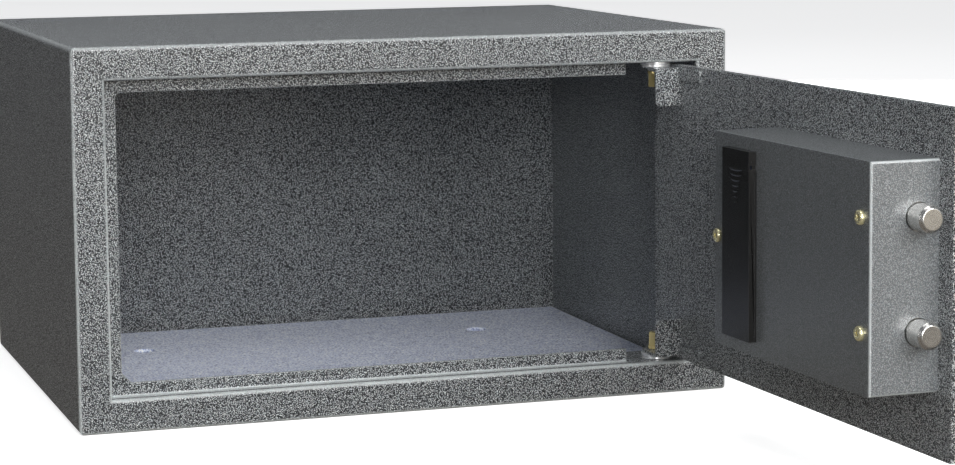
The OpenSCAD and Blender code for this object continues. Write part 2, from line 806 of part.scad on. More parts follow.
module battery_lead() door_place() color("crimson") {
    x = tray_x0 - lead_reach;
    y0 = main_board_y0 + board_t + lead_d / 2;
    y1 = tray_y0 + lead_in;
    z = main_board_z0 + main_board_h - lead_drop;
    wire([[tray_x0, y1, z], [x, y1, z], [x, y0, z], [main_board_x0 + main_board_w - lead_in, y0, z]], lead_d);
}

module motor_lead() door_place() color("black") {
    x = pinion_x + bracket_half + 2;
    y = motor_y1 + lead_d / 2;
    z0 = main_board_z0 + main_board_h - lead_drop / 2;
    z1 = pinion_z + motor_d / 3;
    wire([[pinion_x, y, z1], [x, y, z1], [x, y, z0], [x, main_board_y0 + board_t, z0]], lead_d);
}

// Batteries

module battery_tray() door_place() color("black") difference() {
    translate([tray_x0, tray_y0, tray_z0]) cube([tray_w, house_y1 - tray_y0, tray_h]);
    translate([tray_x0 + tray_wall, tray_y0 + tray_wall, tray_z0 + tray_wall])
        cube([tray_w - 2 * tray_wall, house_y1 - tray_y0, tray_h - 2 * tray_wall]);
}

module battery_contacts() door_place() color("silver")
    for (x = [0, 1], z = [0, 1])
        translate([tray_x0 + tray_wall + contact_in + x * (cell_d + 2 * cell_gap),
                   tray_y0 + tray_wall + contact_in,
                   tray_z0 + tray_wall + z * (tray_h - 2 * tray_wall - contact_t)])
            cube([contact_w, contact_d, contact_t]);

module batteries() door_place() color("orange")
    for (x = [0, 1], z = [0, 1]) {
        z0 = tray_z0 + tray_h / 2 - cell_l - cell_pair_gap / 2 + z * (cell_l + cell_pair_gap);
        translate([tray_x0 + tray_wall + cell_gap + cell_d / 2 + x * (cell_d + 2 * cell_gap),
                   tray_y0 + tray_wall + cell_gap + cell_d / 2, z0]) {
            cylinder(h = cell_l - cell_tip_l, d = cell_d);
            translate([0, 0, cell_l - cell_tip_l - eps]) cylinder(h = cell_tip_l + eps, d = cell_tip_d);
        }
    }

// Sliding cover over the batteries, hollow behind, with thumb ridges near its top
module battery_cover() door_place() color("black") difference() {
    y0 = house_y1 + cover_gap;
    y1 = house_y1 + cover_t;
    union() {
        translate([cover_x0, y0, cover_z0]) cube([cover_w, y1 - y0, cover_h]);
        for (i = [0 : ridge_count - 1])
            rod_x(y1, ridge_top - i * ridge_pitch, cover_x0 + cover_w / 2 - ridge_half(i),
                  cover_x0 + cover_w / 2 + ridge_half(i), ridge_d);
    }
    translate([cover_x0 + cover_wall, y0 - over, cover_z0 + cover_wall])
        cube([cover_w - 2 * cover_wall, cover_t - cover_gap + over - cover_wall, cover_h - 2 * cover_wall]);
    translate([cover_x0 - over, y0 - over, cover_z0 + cover_h - notch_drop])
        cube([cover_wall / 2 + over, cover_t - notch_rim + over, notch_h]);
}

// The ridges shorten towards the lowest one
function ridge_half(i) = ridge_l / 2 * (ridge_count - i) / ridge_count;

// Keypad panel on the door's outer face

function boss_points() = [
    for (x = [panel_x0 + boss_in, panel_x0 + panel_w - boss_in],
         z = [panel_z0 + boss_in, panel_z0 + panel_h - boss_in]) [x, z]
];

module keypad_bezel() door_place() color("black") difference() {
    union() {
        difference() {
            along_y(panel_out_y, door_out_y)
                round_rect(panel_x0, panel_z0, panel_x0 + panel_w, panel_z0 + panel_h, panel_r);
            along_y(panel_in_y, door_out_y + over)
                round_rect(panel_x0 + panel_wall, panel_z0 + panel_wall, panel_x0 + panel_w - panel_wall,
                           panel_z0 + panel_h - panel_wall, panel_r - panel_wall);
        }
        for (p = boss_points()) rod_y(p[0], p[1], panel_out_y + eps, door_out_y, boss_d);
    }
    for (p = boss_points()) rod_y(p[0], p[1], panel_in_y, door_out_y + over, panel_screw_d + thread_play);
    for (c = [0 : 2], r = [0 : 3])
        translate([key_x(c) - key_w / 2 - key_fit, panel_out_y - over, key_z(r) - key_h / 2 - key_fit])
            cube([key_w + 2 * key_fit, panel_wall + 2 * over, key_h + 2 * key_fit]);
    translate([display_x0, panel_out_y - over, display_z0])
        cube([display_w, panel_wall + 2 * over, display_h]);
    for (x = lamp_xs) rod_y(x, lamp_z, panel_out_y - over, panel_in_y + over, lamp_d + 2 * lamp_play);
    rod_y(lock_x, lock_z, panel_out_y - over, panel_in_y + over, barrel_d + barrel_play);
    rod_y(lock_x, flap_z, panel_out_y - over, panel_in_y + over, flap_pin_d + 2 * pin_clear);
}

function key_x(column) = key_x0 + column * key_pitch_x;
function key_z(row) = key_z0 + row * key_pitch_z;

module keypad_key(column, row) door_place() color("lightgray") {
    x = key_x(column);
    z = key_z(row);
    y0 = panel_out_y - key_proud;
    flange_y = panel_in_y + key_seat;
    along_y(y0, flange_y + eps)
        round_rect(x - key_w / 2, z - key_h / 2, x + key_w / 2, z + key_h / 2, key_r);
    translate([x - key_w / 2 - key_flange, flange_y, z - key_h / 2 - key_flange])
        cube([key_w + 2 * key_flange, key_flange_t, key_h + 2 * key_flange]);
    rod_y(x, z, flange_y + key_flange_t - eps, board_y0 - key_travel - board_gap, key_stem_d);
}

module display_window() door_place() color("midnightblue") {
    fit = display_play;
    translate([display_x0 + fit, panel_out_y + display_inset, display_z0 + fit])
        cube([display_w - 2 * fit, panel_wall - display_inset + eps, display_h - 2 * fit]);
    translate([display_x0 - display_rim, panel_in_y, display_z0 - display_rim])
        cube([display_w + 2 * display_rim, display_rim_t, display_h + 2 * display_rim]);
}

module status_lamps() door_place() color("limegreen")
    for (x = lamp_xs) {
        rod_y(x, lamp_z, panel_out_y, board_y0, lamp_d);
        translate([x, panel_out_y, lamp_z]) sphere(d = lamp_d);
    }

module keypad_board() door_place() color("darkgreen") difference() {
    translate([panel_x0 + board_in, board_y0, panel_z0 + board_in])
        cube([board_w, board_t, panel_h - 2 * board_in]);
    for (p = boss_points())
        rod_y(p[0], p[1], board_y0 - over, board_y0 + board_t + over, boss_d + 2 * barrel_play);
}

module panel_screws() door_place() color("silver")
    for (p = boss_points()) {
        rod_y(p[0], p[1], door_out_y - panel_screw_bite, door_in_y + eps, panel_screw_d);
        rod_y(p[0], p[1], door_in_y, door_in_y + panel_screw_head_h, panel_screw_head);
    }

// Override lock

module override_barrel() door_place() color("silver") difference() {
    union() {
        rod_y(lock_x, lock_z, panel_out_y - barrel_flange_t, panel_out_y, barrel_flange_d);
        rod_y(lock_x, lock_z, panel_out_y - eps, barrel_y1, barrel_d);
    }
    rod_y(lock_x, lock_z, panel_out_y - barrel_flange_t - over, barrel_y1 + over, plug_d + 2 * plug_clear);
}

module override_plug() door_place() color("gold") {
    y0 = panel_out_y - barrel_flange_t;
    difference() {
        rod_y(lock_x, lock_z, y0, cam_y0 + eps, plug_d);
        translate([lock_x - keyway_w / 2, y0 - over, lock_z - keyway_h / 2])
            cube([keyway_w, keyway_l + over, keyway_h]);
    }
    along_y(cam_y0, cam_y0 + cam_t) {
        translate([lock_x, lock_z]) circle(d = plug_d);
        translate([lock_x - cam_w / 2, lock_z]) square([cam_w, cam_l]);
    }
}

// Flap that hangs over the keyhole and swings aside
module keyhole_flap() door_place() color("black") {
    along_y(flap_y1 - flap_t, flap_y1)
        round_rect(lock_x - flap_w / 2, flap_z + flap_r - flap_h,
                   lock_x + flap_w / 2, flap_z + flap_r, flap_r);
    rod_y(lock_x, flap_z, flap_y1 - eps, panel_in_y + flap_gap + eps, flap_pin_d);
    rod_y(lock_x, flap_z, panel_in_y + flap_gap, panel_in_y + flap_gap + flap_pin_head_t, flap_pin_head_d);
}

front_frame();
outer_shell();
back_panel();
lip_frame();
lower_hinge_plate();
upper_hinge_plate();
lower_washers();
upper_washers();
lower_hinge_pin();
upper_hinge_pin();
floor_mat();
door_plate();
lower_hinge_bracket();
upper_hinge_bracket();
lock_housing();
housing_screws();
housing_post();
bolt_guide();
motor_bracket();
lock_motor();
control_board();
board_spacers();
battery_tray();
battery_contacts();
batteries();
battery_lead();
motor_lead();
ribbon_cable();
keypad_bezel();
display_window();
keypad_board();
status_lamps();
panel_screws();
override_barrel();
bolt_carriage();
upper_bolt();
lower_bolt();
drive_pinion();
override_plug();
keyhole_flap();
battery_cover();
for (r = [0 : 3], c = [0 : 2])
    keypad_key(c, r);
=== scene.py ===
import json
import math
import bmesh
import bpy
from mathutils import Matrix, Vector


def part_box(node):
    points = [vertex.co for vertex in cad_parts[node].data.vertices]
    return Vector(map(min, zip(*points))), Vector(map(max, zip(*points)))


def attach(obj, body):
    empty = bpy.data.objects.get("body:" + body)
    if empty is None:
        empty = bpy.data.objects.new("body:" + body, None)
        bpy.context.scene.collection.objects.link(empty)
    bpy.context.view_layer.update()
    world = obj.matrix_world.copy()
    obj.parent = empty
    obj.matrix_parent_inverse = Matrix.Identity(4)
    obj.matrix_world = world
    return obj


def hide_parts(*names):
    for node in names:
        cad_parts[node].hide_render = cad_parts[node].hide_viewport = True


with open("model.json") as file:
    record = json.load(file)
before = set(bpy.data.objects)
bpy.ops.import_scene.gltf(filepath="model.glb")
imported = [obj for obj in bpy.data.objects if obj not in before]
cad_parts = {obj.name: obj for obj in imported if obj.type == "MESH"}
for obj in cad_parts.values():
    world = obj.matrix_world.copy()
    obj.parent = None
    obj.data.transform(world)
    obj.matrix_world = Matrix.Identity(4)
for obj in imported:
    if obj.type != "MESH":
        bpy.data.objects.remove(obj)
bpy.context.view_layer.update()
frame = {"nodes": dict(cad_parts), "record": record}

mm = 0.001
cabinet = {"width": 450, "depth": 350}
hinge = {"x": 405.5, "y": 19.1, "openAngle": 92.5}


def at(x, y, z):
    # from the cabinet's front lower left corner, in mm, to the shared frame
    return Vector((x - cabinet["width"] / 2, y - cabinet["depth"] / 2, z)) * mm


pivot = at(hinge["x"], hinge["y"], 0)
doorTurn = (
    Matrix.Translation(pivot)
    @ Matrix.Rotation(math.radians(hinge["openAngle"]), 4, "Z")
    @ Matrix.Translation(-pivot)
)
doorBack = doorTurn.inverted()


# Modelling helpers

merging = {"distance": 0.000004, "flatAngle": 0.6}
rounding = {"leastAngle": 28, "flat": 0.985, "bent": 0.12}


def deselect():
    bpy.ops.object.select_all(action="DESELECT")


def pick(*pieces):
    deselect()
    for piece in pieces:
        piece.select_set(True)
    bpy.context.view_layer.objects.active = pieces[0]


def editFaces(piece, test):
    # edit mode with the faces that test chooses selected
    pick(piece)
    bpy.ops.object.mode_set(mode="EDIT")
    bpy.ops.mesh.select_mode(type="FACE")
    bpy.ops.mesh.select_all(action="DESELECT")
    mesh = bmesh.from_edit_mesh(piece.data)
    for face in mesh.faces:
        if test(face):
            face.select_set(True)
    mesh.select_flush_mode()
    bmesh.update_edit_mesh(piece.data)


def endEdit():
    bpy.ops.object.mode_set(mode="OBJECT")


def modify(piece, kind, **settings):
    pick(piece)
    modifier = piece.modifiers.new(kind.title(), kind)
    for name, value in settings.items():
        setattr(modifier, name, value)
    bpy.ops.object.modifier_apply(modifier=modifier.name)


def newPiece(name):
    piece = bpy.context.object
    piece.name = name
    piece.data.name = name
    return piece


def settle(piece):
    pick(piece)
    bpy.ops.object.transform_apply(location=True, rotation=True, scale=True)


def block(name, low, high):
    deselect()
    bpy.ops.mesh.primitive_cube_add(size=1, location=(low + high) / 2)
    piece = newPiece(name)
    piece.scale = high - low
    settle(piece)
    return piece


def rod(name, radius, length, sides):
    # stands on the origin, along +Z
    deselect()
    bpy.ops.mesh.primitive_cylinder_add(
        vertices=sides, radius=radius * mm, depth=length * mm, location=(0, 0, length * mm / 2)
    )
    piece = newPiece(name)
    settle(piece)
    return piece


def cut(piece, cutter, operation="DIFFERENCE", solver="EXACT"):
    modify(piece, "BOOLEAN", object=cutter, operation=operation, solver=solver)
    bpy.data.objects.remove(cutter)


def join(pieces):
    pick(*pieces)
    bpy.ops.object.join()
    return pieces[0]


def tidyMesh(piece):
    pick(piece)
    bpy.ops.object.mode_set(mode="EDIT")
    bpy.ops.mesh.select_all(action="SELECT")
    bpy.ops.mesh.remove_doubles(threshold=merging["distance"])
    bpy.ops.mesh.dissolve_limited(angle_limit=math.radians(merging["flatAngle"]))
    endEdit()


def copyMesh(name, mesh):
    piece = bpy.data.objects.new(name, mesh.copy())
    piece.data.name = name
    bpy.context.scene.collection.objects.link(piece)
    return piece


def copyNode(node, name, shut=False):
    # a merged copy of a CAD node; a door part is turned back to where it is shut
    piece = copyMesh(name, frame["nodes"][node].data)
    pick(piece)
    bpy.ops.mesh.customdata_custom_splitnormals_clear()
    if shut:
        piece.data.transform(doorBack)
    tidyMesh(piece)
    return piece


def markBends(piece):
    # how far each face leans away from the flat sheets, for finishes that paint a highlight on a fold
    leaning = []
    for face in piece.data.polygons:
        square = max(abs(value) for value in face.normal)
        leaning.append(min(1.0, max(0.0, (rounding["flat"] - square) / rounding["bent"])))
    bend = piece.data.attributes.new("bend", "FLOAT", "FACE")
    bend.data.foreach_set("value", leaning)


def smooth(piece):
    pick(piece)
    bpy.ops.object.shade_smooth()
    modify(piece, "WEIGHTED_NORMAL", weight=50, keep_sharp=False)


def soften(piece, width, segments=2, reach=None):
    # rounds the sharp edges; reach scales the width edge by edge
    layer = "bevel_weight_edge"
    mesh = bmesh.new()
    mesh.from_mesh(piece.data)
    weight = mesh.edges.layers.float.get(layer) or mesh.edges.layers.float.new(layer)
    for edge in mesh.edges:
        sharp = len(edge.link_faces) == 2 and edge.calc_face_angle(0) > math.radians(rounding["leastAngle"])
        edge[weight] = (reach(edge) if reach else 1.0) if sharp else 0.0
    mesh.to_mesh(piece.data)
    mesh.free()
    modify(
        piece, "BEVEL", width=width * mm, segments=segments, limit_method="WEIGHT", use_clamp_overlap=True
    )
    markBends(piece)
    smooth(piece)


def dress(piece, finish, body, replaced=(), shut=False):
    # the last step of every piece: its place, finish and body
    if shut:
        piece.data.transform(doorTurn)
    piece.data.materials.clear()
    piece.data.materials.append(finish)
    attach(piece, body)
    if replaced:
        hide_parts(*replaced)


# Finishes


class Wire:
    # an output socket that can be used in sums
    def __init__(self, nodes, socket):
        self.nodes = nodes
        self.socket = socket

    def maths(self, operation, first, second):
        return self.nodes.node("Math", {"operation": operation}, {0: first, 1: second})

    def __add__(self, other):
        return self.maths("ADD", self, other)

    def __sub__(self, other):
        return self.maths("SUBTRACT", self, other)

    def __rsub__(self, other):
        return self.maths("SUBTRACT", other, self)

    def __mul__(self, other):
        return self.maths("MULTIPLY", self, other)

    __radd__ = __add__
    __rmul__ = __mul__


class Nodes:
    # the nodes of a finish or of the surround
    def __init__(self, tree):
        self.tree = tree

    def node(self, kind, settings=None, sockets=None, output=0):
        made = self.tree.nodes.new("ShaderNode" + kind)
        for name, value in (settings or {}).items():
            if name == "stops":
                self.setStops(made.color_ramp, value)
            else:
                setattr(made, name, value)
        for name, value in (sockets or {}).items():
            self.feed(made.inputs[name], value)
        return Wire(self, made.outputs[output])

    def feed(self, socket, value):
        if isinstance(value, Wire):
            self.tree.links.new(value.socket, socket)
        else:
            socket.default_value = value

    def setStops(self, ramp, stops):
        while len(ramp.elements) < len(stops):
            ramp.elements.new(0.5)
        for element, (position, colour) in zip(ramp.elements, stops):
            element.position = position
            element.color = (*colour, 1)

    def ramp(self, value, stops):
        return self.node("ValToRGB", {"stops": stops}, {"Fac": value})


def opaque(colour):
    return (*colour, 1) if isinstance(colour, tuple) and len(colour) == 3 else colour


class Finish(Nodes):
    # one material
    def __init__(self, name):
        self.material = bpy.data.materials.new(name)
        self.material.use_nodes = True
        super().__init__(self.material.node_tree)
        self.shader = self.tree.nodes["Principled BSDF"]
        self.place = self.node("TexCoord", output="Object")

    def noise(self, scale, detail=2, roughness=0.5, vector=None):
        return self.node("TexNoise", {}, {
            "Vector": vector or self.place,
            "Scale": scale,
            "Detail": detail,
            "Roughness": roughness,
        })

    def cells(self, scale, smoothness):
        return self.node("TexVoronoi", {"feature": "SMOOTH_F1"}, {
            "Vector": self.place,
            "Scale": scale,
            "Smoothness": smoothness,
        })

    def along(self, axis):
        return self.node("SeparateXYZ", {}, {"Vector": self.place}, output=axis)

    def stretched(self, x, y, z):
        return self.node("Mapping", {}, {"Vector": self.place, "Scale": (x, y, z)})

    def attribute(self, name):
        return self.node("Attribute", {"attribute_name": name}, output="Fac")

    def mix(self, factor, first, second, blend="MIX"):
        # a colour Mix takes its two colours at sockets 6 and 7 and gives the result at 2
        return self.node(
            "Mix",
            {"data_type": "RGBA", "blend_type": blend},
            {0: factor, 6: opaque(first), 7: opaque(second)},
            output=2,
        )

    def bump(self, height, depth, strength):
        return self.node("Bump", {}, {"Height": height, "Distance": depth * mm, "Strength": strength})

    def set(self, **values):
        for name, value in values.items():
            self.feed(self.shader.inputs[name], opaque(value))
        return self.material


hammer = {
    "fleckScale": 1520,
    "fleckWeight": 2.9,
    "cellScale": 1150,
    "cellBlur": 0.2,
    "cellWeight": 1.7,
    "cellMiddle": 0.40,
    "cloudScale": 9,
    "cloudWeight": 0.16,
    "tintScale": 560,
    "coolTint": (0.86, 0.96, 1.0),
    "warmTint": (1.0, 0.98, 0.96),
    # painted highlight on the folds: its colour and how much of it
    "foldHighlight": (0.78, 0.79, 0.79),
    "foldHighlightShare": 0.55,
    "specular": 0.6,
    "coatRoughness": 0.24,
    "coatIor": 1.75,
}
# painted light on the way into the door opening: 0.5 as elsewhere, 1 a painted highlight on the bends and
# ledges, 0 painted shade along the seam
mouth = {
    "front": -175,
    "reach": 16,
    "bands": [
        (0.25, 0.5), (0.9, 1.0), (3.5, 1.0), (4.1, 0.0), (5.7, 0.0), (6.5, 0.9), (11.9, 1.0), (12.4, 0.5)
    ],
    # the colour of the painted highlight, and below it the colour of the painted seam shade
    "bright": (0.80, 0.82, 0.81),
    "highlightShare": 0.62,
    "seamShade": (0.01, 0.01, 0.012),
    "seamShadeShare": 0.85,
    # the painted light fades out between these heights
    "fade": (0.17, 0.20),
}


def hammertone(name, paint, nearMouth=False):
    # enamel that dries in small cells, lighter on their tops, under a gloss that stays smooth on the bends
    f = Finish(name)
    size = paint["size"]
    fleck = f.noise(hammer["fleckScale"] / size, 1)
    cell = f.cells(hammer["cellScale"] / size, hammer["cellBlur"])
    cloud = f.noise(hammer["cloudScale"], 3, 0.6)
    relief = (fleck - 0.5) * hammer["fleckWeight"] + (hammer["cellMiddle"] - cell) * hammer["cellWeight"]
    relief = relief * paint["contrast"] + 0.5
    stops = [(0.08, paint["dark"]), (0.5, paint["middle"]), (0.92, paint["light"])]
    tone = f.ramp(relief + (cloud - 0.5) * hammer["cloudWeight"], stops)
    # painted highlight: faces on the folds are lightened towards pale grey
    tone = f.mix(f.attribute("bend") * hammer["foldHighlightShare"], tone, hammer["foldHighlight"])
    if nearMouth:
        tone = mouthLightAndShade(f, tone)
    tint = f.mix(f.noise(hammer["tintScale"] / size, 1), hammer["coolTint"], hammer["warmTint"])
    f.shader.inputs["Specular IOR Level"].default_value = hammer["specular"]
    f.shader.inputs["Coat Weight"].default_value = paint["coat"]
    f.shader.inputs["Coat Roughness"].default_value = hammer["coatRoughness"]
    f.shader.inputs["Coat IOR"].default_value = hammer["coatIor"]
    return f.set(**{
        "Base Color": f.mix(1.0, tone, tint, "MULTIPLY"),
        "Metallic": 0.14 + relief * 0.3,
        "Roughness": 0.44 - relief * 0.12,
        "Normal": f.bump(relief, paint["depth"], 1.0),
    })


# paints highlights on the bends into the opening and shade along the seam, only low down
def mouthLightAndShade(f, tone):
    scale = 1 / (mouth["reach"] * mm)
    stops = [(way / mouth["reach"], (value, value, value)) for way, value in mouth["bands"]]
    band = f.ramp((f.along("Y") - mouth["front"] * mm) * scale, stops)
    low, high = mouth["fade"]
    shown = f.node("MapRange", {}, {
        "Value": f.along("Z"),
        "From Min": low,
        "From Max": high,
        "To Min": 1.0,
        "To Max": 0.0,
    })
    clamped = {"operation": "MULTIPLY_ADD", "use_clamp": True}
    # painted highlight above 0.5 in the band, painted shade below it
    paintedHighlight = f.node("Math", clamped, {0: band, 1: 2.0, 2: -1.0})
    seamShade = f.node("Math", clamped, {0: band, 1: -2.0, 2: 1.0})
    tone = f.mix(paintedHighlight * shown * mouth["highlightShare"], tone, mouth["bright"])
    return f.mix(seamShade * shown * mouth["seamShadeShare"], tone, mouth["seamShade"])


def plated(name, colour, tinge, roughness, metallic=1.0):
    # bright plating with faint polish lines and a patchy tinge
    f = Finish(name)
    patch = f.noise(150, 3, 0.6)
    lines = f.noise(90, 3, 0.7, f.stretched(1, 1, 14))
    return f.set(**{
        "Base Color": f.mix(patch, colour, tinge),
        "Metallic": metallic,
        "Roughness": roughness + (patch - 0.5) * 0.16 + (lines - 0.5) * 0.1,
        "Normal": f.bump(lines, 0.02, 0.5),
    })


toolMarks = {"pitch": 0.45, "depth": 0.02}


def turned(name, colour, tinge, centre, axis, roughness, metallic=1.0):
    # tool marks run round an axis
    f = Finish(name)
    moved = f.node("VectorMath", {"operation": "SUBTRACT"}, {0: f.place, 1: tuple(centre)})
    along = f.node("VectorMath", {"operation": "DOT_PRODUCT"}, {0: moved, 1: tuple(axis)}, output="Value")
    reach = f.node("VectorMath", {"operation": "CROSS_PRODUCT"}, {0: moved, 1: tuple(axis)})
    radius = f.node("VectorMath", {"operation": "LENGTH"}, {0: reach}, output="Value")
    marks = f.node("TexNoise", {"noise_dimensions": "1D"}, {
        "W": (along + radius) * (1 / (toolMarks["pitch"] * mm)),
        "Scale": 1.0,
        "Detail": 2.0,
    })
    patch = f.noise(180, 2)
    return f.set(**{
        "Base Color": f.mix(patch, colour, tinge),
        "Metallic": metallic,
        "Roughness": roughness + (marks - 0.5) * 0.18 + (patch - 0.5) * 0.08,
        "Normal": f.bump(marks, toolMarks["depth"], 0.5),
    })


def moulded(name, dark, light, roughness, grain=900, depth=0.03, edgeHighlight=None):
    # plastic with a fine sparked texture, which can have a painted highlight on its edges
    f = Finish(name)
    spark = f.noise(grain, 2, 0.6)
    cloud = f.noise(24, 2)
    tone = f.mix(cloud, dark, light)
    if edgeHighlight:
        tone = f.mix(f.attribute("bend") * (0.6 + spark * 0.5), tone, edgeHighlight)
    return f.set(**{
        "Base Color": tone,
        "Roughness": roughness + (spark - 0.5) * 0.16,
        "Normal": f.bump(spark, depth, 0.6),
    })


feltBlues = [
    (0.08, (0.10, 0.12, 0.24)),
    (0.36, (0.40, 0.46, 0.72)),
    (0.60, (0.76, 0.84, 1.0)),
    (0.90, (1.0, 1.0, 1.0)),
]


def feltPile(name):
    # needled fibres, dark blue with light and blue ends
    f = Finish(name)
    fibre = f.noise(640, 4, 0.7)
    strand = f.noise(300, 3, 0.7, f.stretched(1, 3.2, 1))
    tuft = f.noise(120, 2)
    mixed = (fibre - 0.5) * 2.8 + (strand - 0.5) * 1.0 + (tuft - 0.5) * 0.3 + 0.5
    f.shader.inputs["Sheen Weight"].default_value = 0.35
    return f.set(**{
        "Base Color": f.ramp(mixed, feltBlues),
        "Roughness": 0.9 + (fibre - 0.5) * 0.1,
        "Normal": f.bump(mixed, 0.5, 0.8),
    })


def boardMask(name):
    # solder mask with copper tracks showing under it
    f = Finish(name)
    tracks = f.node("TexBrick", {}, {"Vector": f.stretched(120, 120, 120), "Scale": 1.0, "Mortar Size": 0.03})
    grain = f.noise(400, 2)
    return f.set(**{
        "Base Color": f.mix(tracks, (0.01, 0.10, 0.035), (0.02, 0.19, 0.07)),
        "Roughness": 0.32 + (grain - 0.5) * 0.1,
        "Normal": f.bump(grain, 0.02, 0.3),
    })


cabinetPaint = {
    "dark": (0.015, 0.017, 0.02),
    "middle": (0.26, 0.276, 0.293),
    "light": (1.0, 1.0, 1.0),
    "depth": 0.30,
    "size": 1.0,
    "contrast": 1.7,
    "coat": 0.42,
}
casePaint = {
    "dark": (0.105, 0.109, 0.114),
    "middle": (0.195, 0.20, 0.206),
    "light": (0.335, 0.34, 0.345),
    "depth": 0.14,
    "size": 0.9,
    "contrast": 0.9,
    "coat": 0.6,
}
enamel = hammertone("hammertoneEnamel", cabinetPaint)
mouthEnamel = hammertone("mouthEnamel", cabinetPaint, nearMouth=True)
caseEnamel = hammertone("caseEnamel", casePaint)
zincPlate = plated("zincPlate", (0.72, 0.73, 0.74), (0.60, 0.62, 0.66), 0.24)
yellowZinc = plated("yellowZincPlate", (1.0, 0.93, 0.58), (0.95, 0.88, 0.56), 0.26, 0.8)
brassFinish = plated("turnedBrass", (1.0, 0.84, 0.40), (0.94, 0.77, 0.34), 0.24, 0.7)
canFinish = plated("motorCan", (0.46, 0.46, 0.47), (0.38, 0.38, 0.40), 0.34)
blackCover = moulded("blackSatin", (0.006, 0.006, 0.007), (0.010, 0.010, 0.011), 0.24, depth=0.012)
# the cover's edges carry a painted highlight in light grey
coverPlastic = moulded(
    "coverPlastic",
    (0.007, 0.007, 0.007),
    (0.012, 0.0115, 0.011),
    0.24,
    depth=0.012,
    edgeHighlight=(0.27, 0.275, 0.28),
)
whiteTray = moulded("whiteMoulding", (0.72, 0.72, 0.69), (0.80, 0.80, 0.77), 0.45)
rubber = moulded("greyRubber", (0.26, 0.27, 0.28), (0.33, 0.34, 0.35), 0.62, 700, 0.05)
legendInk = moulded("legendInk", (0.02, 0.02, 0.024), (0.035, 0.035, 0.04), 0.5)
windowTint = moulded("windowTint", (0.006, 0.008, 0.014), (0.012, 0.014, 0.022), 0.08, 300, 0.004)
redLens = moulded("redLens", (0.34, 0.012, 0.010), (0.46, 0.02, 0.015), 0.12, 300, 0.01)
greenLens = moulded("greenLens", (0.02, 0.26, 0.06), (0.03, 0.36, 0.09), 0.12, 300, 0.01)
sleeveFinish = moulded("cellSleeve", (0.03, 0.05, 0.12), (0.05, 0.07, 0.15), 0.3)
leadFinish = moulded("leadInsulation", (0.40, 0.02, 0.02), (0.48, 0.03, 0.03), 0.42)
ribbonFinish = moulded("ribbonInsulation", (0.40, 0.41, 0.43), (0.50, 0.51, 0.53), 0.42)
feltFinish = feltPile("needledFelt")
boardFinish = boardMask("greenMask")
print("finishes made")

# every CAD node takes a finish from its slot; those with a piece of their own below are hidden later
slotFinish = {
    "hammertone_steel": enamel,
    "zinc": zincPlate,
    "zinc_bolt": zincPlate,
    "yellow_zinc": yellowZinc,
    "brass": brassFinish,
    "felt": feltFinish,
    "black_plastic": blackCover,
    "white_plastic": whiteTray,
    "key_rubber": rubber,
    "dark_window": windowTint,
    "lamp_lens": greenLens,
    "circuit_board": boardFinish,
    "motor_can": canFinish,
    "cell_sleeve": sleeveFinish,
    "lead_insulation": leadFinish,
    "ribbon_insulation": ribbonFinish,
}
for part in frame["record"]["subparts"]:
    nodeObject = frame["nodes"][part["node"]]
    nodeObject.data.materials.clear()
    nodeObject.data.materials.append(slotFinish[part["material_slot"]])


# Camera, light and floor

view = {
    "place": (-0.5125, -1.8791, 0.3637),
    "yaw": 18.119,
    "pitch": -6.783,
    "roll": -0.530,
    "lens": 102.16,
    "sensor": 36,
    "shiftY": -0.0497,
}


def setCamera():
    yaw, pitch, roll = (math.radians(view[name]) for name in ("yaw", "pitch", "roll"))
    right = Vector((math.cos(yaw), -math.sin(yaw), 0))
    forward = Vector((math.sin(yaw) * math.cos(pitch), math.cos(yaw) * math.cos(pitch), math.sin(pitch)))
    up = right.cross(forward)
    turn = Matrix((
        right * math.cos(roll) + up * math.sin(roll),
        up * math.cos(roll) - right * math.sin(roll),
        -forward,
    )).transposed()
    data = bpy.data.cameras.new("camera")
    data.lens = view["lens"]
    data.sensor_width = view["sensor"]
    data.shift_y = view["shiftY"]
    camera = bpy.data.objects.new("camera", data)
    camera.matrix_world = Matrix.Translation(view["place"]) @ turn.to_4x4()
    bpy.context.scene.collection.objects.link(camera)
    bpy.context.scene.camera = camera
    bpy.context.scene.view_settings.view_transform = "Standard"
    bpy.context.scene.view_settings.look = "None"


lamps = {
    "keyLight": {"place": (0.65, -2.6, 1.65), "aim": (0.0, 0.0, 0.12), "size": (2.4, 1.7), "power": 72},
    "frontFill": {"place": (-0.55, -3.2, 0.7), "aim": (0.0, 0.0, 0.1), "size": (1.0, 0.8), "power": 46},
    "lowGlow": {
        "place": (0.75, -2.4, 0.3),
        "aim": (0.0, 0.0, 0.12),
        "size": (2.2, 0.56),
        "power": 5,
        "colour": (1.0, 0.9, 0.74),
    },
    "leftStrip": {"place": (-2.5, -1.5, 0.8), "aim": (0.1, -0.1, 0.12), "size": (0.25, 1.6), "power": 8},
    "topLight": {"place": (0.1, -0.7, 2.4), "aim": (0.1, -0.2, 0.12), "size": (1.2, 1.0), "power": 16},
    "sideLight": {"place": (2.6, -0.6, 1.3), "aim": (0.1, -0.2, 0.12), "size": (1.4, 1.2), "power": 5},
    "backLight": {"place": (-0.2, 2.8, 1.15), "aim": (0.0, 0.1, 0.12), "size": (3.6, 0.5), "power": 4},
    "rearLight": {"place": (1.0, 2.4, 0.125), "aim": (0.0, 0.2, 0.12), "size": (1.4, 0.2), "power": 12},
}
# warm below and dim above, for the bright metal to reflect
surround = {
    "strength": 1.0,
    "stops": [(0.38, (0.15, 0.135, 0.118)), (0.50, (0.075, 0.08, 0.088)), (1.0, (0.085, 0.09, 0.10))],
}


